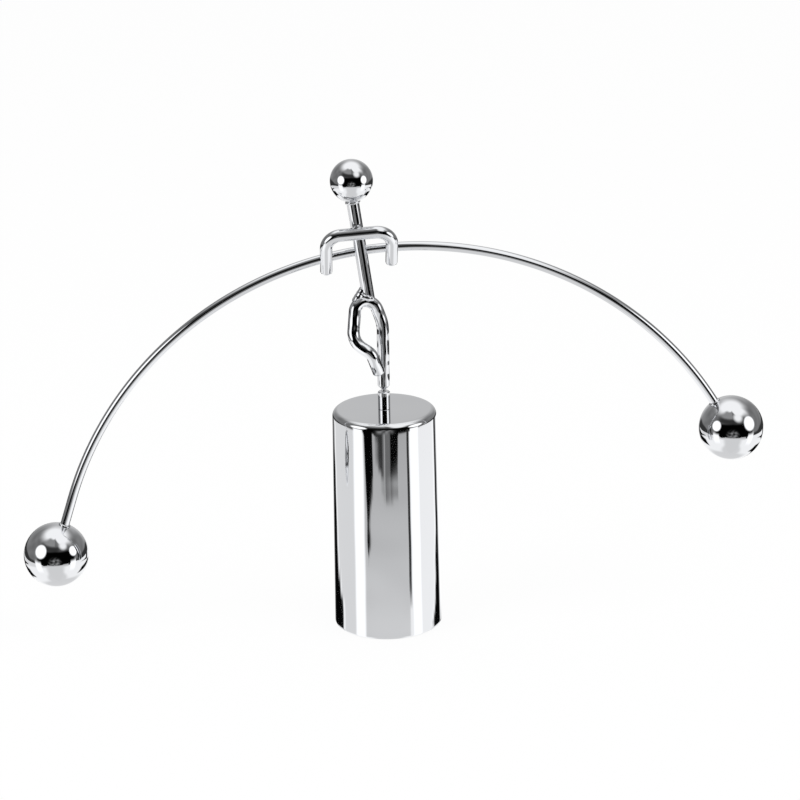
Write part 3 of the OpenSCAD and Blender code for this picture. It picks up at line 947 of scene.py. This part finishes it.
def studio_tent():
    """A far tent that only shines into mirrors: ceiling, walls, dark opening, pale table."""
    rows, columns = 361, 721
    el, az = np.meshgrid(np.linspace(-90, 90, rows), np.linspace(-180, 180, columns),
                         indexing="ij")
    level = shown(studio_level(az, el)).ravel()
    a, e = np.radians(az), np.radians(el)
    points = TENT_R * np.stack([np.cos(e) * np.sin(a), np.cos(e) * np.cos(a), np.sin(e)], -1)
    index = np.arange(rows * columns).reshape(rows, columns)
    quads = np.stack([index[:-1, :-1], index[:-1, 1:], index[1:, 1:], index[1:, :-1]], -1)
    mesh = bpy.data.meshes.new("studio_tent")
    mesh.from_pydata(points.reshape(-1, 3).tolist(), [], quads.reshape(-1, 4).tolist())
    mesh.attributes.new("glow", "FLOAT", "POINT").data.foreach_set("value", level)
    tent = linked("studio_tent", mesh)
    tent.rotation_euler.z = radians(STUDIO_TURN)
    tent.location.z = 0.08
    material, nodes, links = empty_material("studio_tent")
    glow = nodes.new("ShaderNodeAttribute")
    glow.attribute_name = "glow"
    light = nodes.new("ShaderNodeEmission")
    links.new(glow.outputs["Fac"], light.inputs["Strength"])
    links.new(light.outputs[0], nodes.new("ShaderNodeOutputMaterial").inputs["Surface"])
    material.cycles.emission_sampling = "NONE"
    mesh.materials.append(material)
    only_mirrored(tent)


def empty_material(name):
    material = bpy.data.materials.new(name)
    material.use_nodes = True
    material.node_tree.nodes.clear()
    return material, material.node_tree.nodes, material.node_tree.links


def only_mirrored(obj):
    obj.visible_camera = False
    obj.visible_diffuse = False
    obj.visible_transmission = False
    obj.visible_shadow = False
    obj.visible_volume_scatter = False


def from_studio(x, y, z):
    """A studio place in millimetres, seen from the camera's side, in the toy's frame."""
    return Matrix.Rotation(radians(STUDIO_TURN), 4, "Z") @ (mm(x, y, z) * MM)


def glowing(name, level, soft_from, soft_to):
    """A lamp's face whose light fades out towards its rim, by the distance from its middle."""
    material, nodes, links = empty_material(name)
    coords = nodes.new("ShaderNodeTexCoord")
    out = nodes.new("ShaderNodeVectorMath")
    out.operation = "LENGTH"
    links.new(coords.outputs["Object"], out.inputs[0])
    rim = nodes.new("ShaderNodeMapRange")
    rim.interpolation_type = "SMOOTHSTEP"
    rim.inputs["From Min"].default_value = soft_from * MM
    rim.inputs["From Max"].default_value = soft_to * MM
    rim.inputs["To Min"].default_value = 1.0
    rim.inputs["To Max"].default_value = 0.0
    links.new(out.outputs["Value"], rim.inputs["Value"])
    light = nodes.new("ShaderNodeEmission")
    light.inputs["Strength"].default_value = float(shown(level))
    clear = nodes.new("ShaderNodeBsdfTransparent")
    mix = nodes.new("ShaderNodeMixShader")
    links.new(rim.outputs[0], mix.inputs[0])
    links.new(clear.outputs[0], mix.inputs[1])
    links.new(light.outputs[0], mix.inputs[2])
    links.new(mix.outputs[0], nodes.new("ShaderNodeOutputMaterial").inputs["Surface"])
    material.cycles.emission_sampling = "NONE"
    return material


def round_lamp(name, at, radius, level, soft):
    """A round lamp near the toy, facing it, with a soft rim."""
    outline = [mm(radius * cos(a), radius * sin(a), 0) * MM
               for a in np.linspace(0, 2 * pi, 97)[:-1]]
    mesh = bpy.data.meshes.new(name)
    mesh.from_pydata(outline, [], [range(len(outline))])
    lamp = linked(name, mesh)
    lamp.location = from_studio(*at)
    lamp.rotation_euler = (from_studio(0, 0, 80) - lamp.location).to_track_quat("Z", "Y").to_euler()
    mesh.materials.append(glowing(name, level, radius * (1 - soft), radius))
    only_mirrored(lamp)


def white_for_eyes_and_mirrors(nodes, links):
    """1 for camera, glossy and transmission rays, 0 for the rays that light surfaces."""
    path = nodes.new("ShaderNodeLightPath")
    total = None
    for ray in ("Is Camera Ray", "Is Glossy Ray", "Is Transmission Ray"):
        if total is None:
            total = path.outputs[ray]
            continue
        larger = nodes.new("ShaderNodeMath")
        larger.operation = "MAXIMUM"
        links.new(total, larger.inputs[0])
        links.new(path.outputs[ray], larger.inputs[1])
        total = larger.outputs[0]
    return total


def white_world(level=0.75):
    world = bpy.data.worlds.new("white_room")
    bpy.context.scene.world = world
    world.use_nodes = True
    nodes, links = world.node_tree.nodes, world.node_tree.links
    seen = white_for_eyes_and_mirrors(nodes, links)
    strength = nodes.new("ShaderNodeMapRange")
    strength.inputs["To Min"].default_value = level
    links.new(seen, strength.inputs["Value"])
    background = nodes["Background"]
    background.inputs["Color"].default_value = (1, 1, 1, 1)
    links.new(strength.outputs[0], background.inputs["Strength"])


def white_floor(glow=0.94):
    """A pale floor that takes the toy's faint shadow. Mirrors see the tent's table instead."""
    mesh = bpy.data.meshes.new("floor")
    half = 3.0
    mesh.from_pydata([(-half, -half, 0), (half, -half, 0), (half, half, 0), (-half, half, 0)],
                     [], [(0, 1, 2, 3)])
    floor = linked("floor", mesh)
    material, nodes, links = empty_material("white_table")
    paint = nodes.new("ShaderNodeBsdfDiffuse")
    paint.inputs["Color"].default_value = (0.9, 0.9, 0.9, 1)
    light = nodes.new("ShaderNodeEmission")
    share = nodes.new("ShaderNodeMath")
    share.operation = "MULTIPLY"
    share.inputs[1].default_value = glow
    links.new(white_for_eyes_and_mirrors(nodes, links), share.inputs[0])
    mix = nodes.new("ShaderNodeMixShader")
    links.new(share.outputs[0], mix.inputs[0])
    links.new(paint.outputs[0], mix.inputs[1])
    links.new(light.outputs[0], mix.inputs[2])
    links.new(mix.outputs[0], nodes.new("ShaderNodeOutputMaterial").inputs["Surface"])
    mesh.materials.append(material)
    floor.visible_glossy = False


def soft_light(name, at, size, watts):
    """A soft lamp that lights what is matt. Mirrors see the studio's own lamps."""
    data = bpy.data.lights.new(name, "AREA")
    data.shape = "DISK"
    data.size = size
    data.energy = watts
    light = linked(name, data)
    light.location = from_studio(*at)
    light.rotation_euler = (-light.location).to_track_quat("-Z", "Y").to_euler()
    light.visible_glossy = False


def camera():
    data = bpy.data.cameras.new("camera")
    data.lens = LENS
    data.sensor_width = 36.0
    data.clip_start, data.clip_end = 0.01, 50.0
    eye = linked("camera", data)
    turn = Matrix.Rotation(radians(STUDIO_TURN), 4, "Z")
    right = Matrix.Rotation(radians(-AIM_RIGHT), 4, "Z")
    down = Matrix.Rotation(radians(90 - AIM_DOWN), 4, "X")
    roll = Matrix.Rotation(radians(ROLL), 4, "Z")
    eye.matrix_world = turn @ Matrix.Translation(Vector(EYE) * MM) @ right @ down @ roll
    bpy.context.scene.camera = eye


camera()
white_world()
white_floor()
studio_tent()
round_lamp("left_lamp", (-515, -300, 245), 250, 1.05, soft=0.3)
round_lamp("right_lamp", (485, -166, 212), 195, 1.05, soft=0.3)
round_lamp("high_lamp", (363, -480, 726), 330, 0.93, soft=0.7)
soft_light("left_soft", (-900, -500, 1100), 0.8, 6)
soft_light("right_soft", (800, -400, 1200), 0.8, 5)
bpy.context.scene.view_settings.view_transform = "Standard"
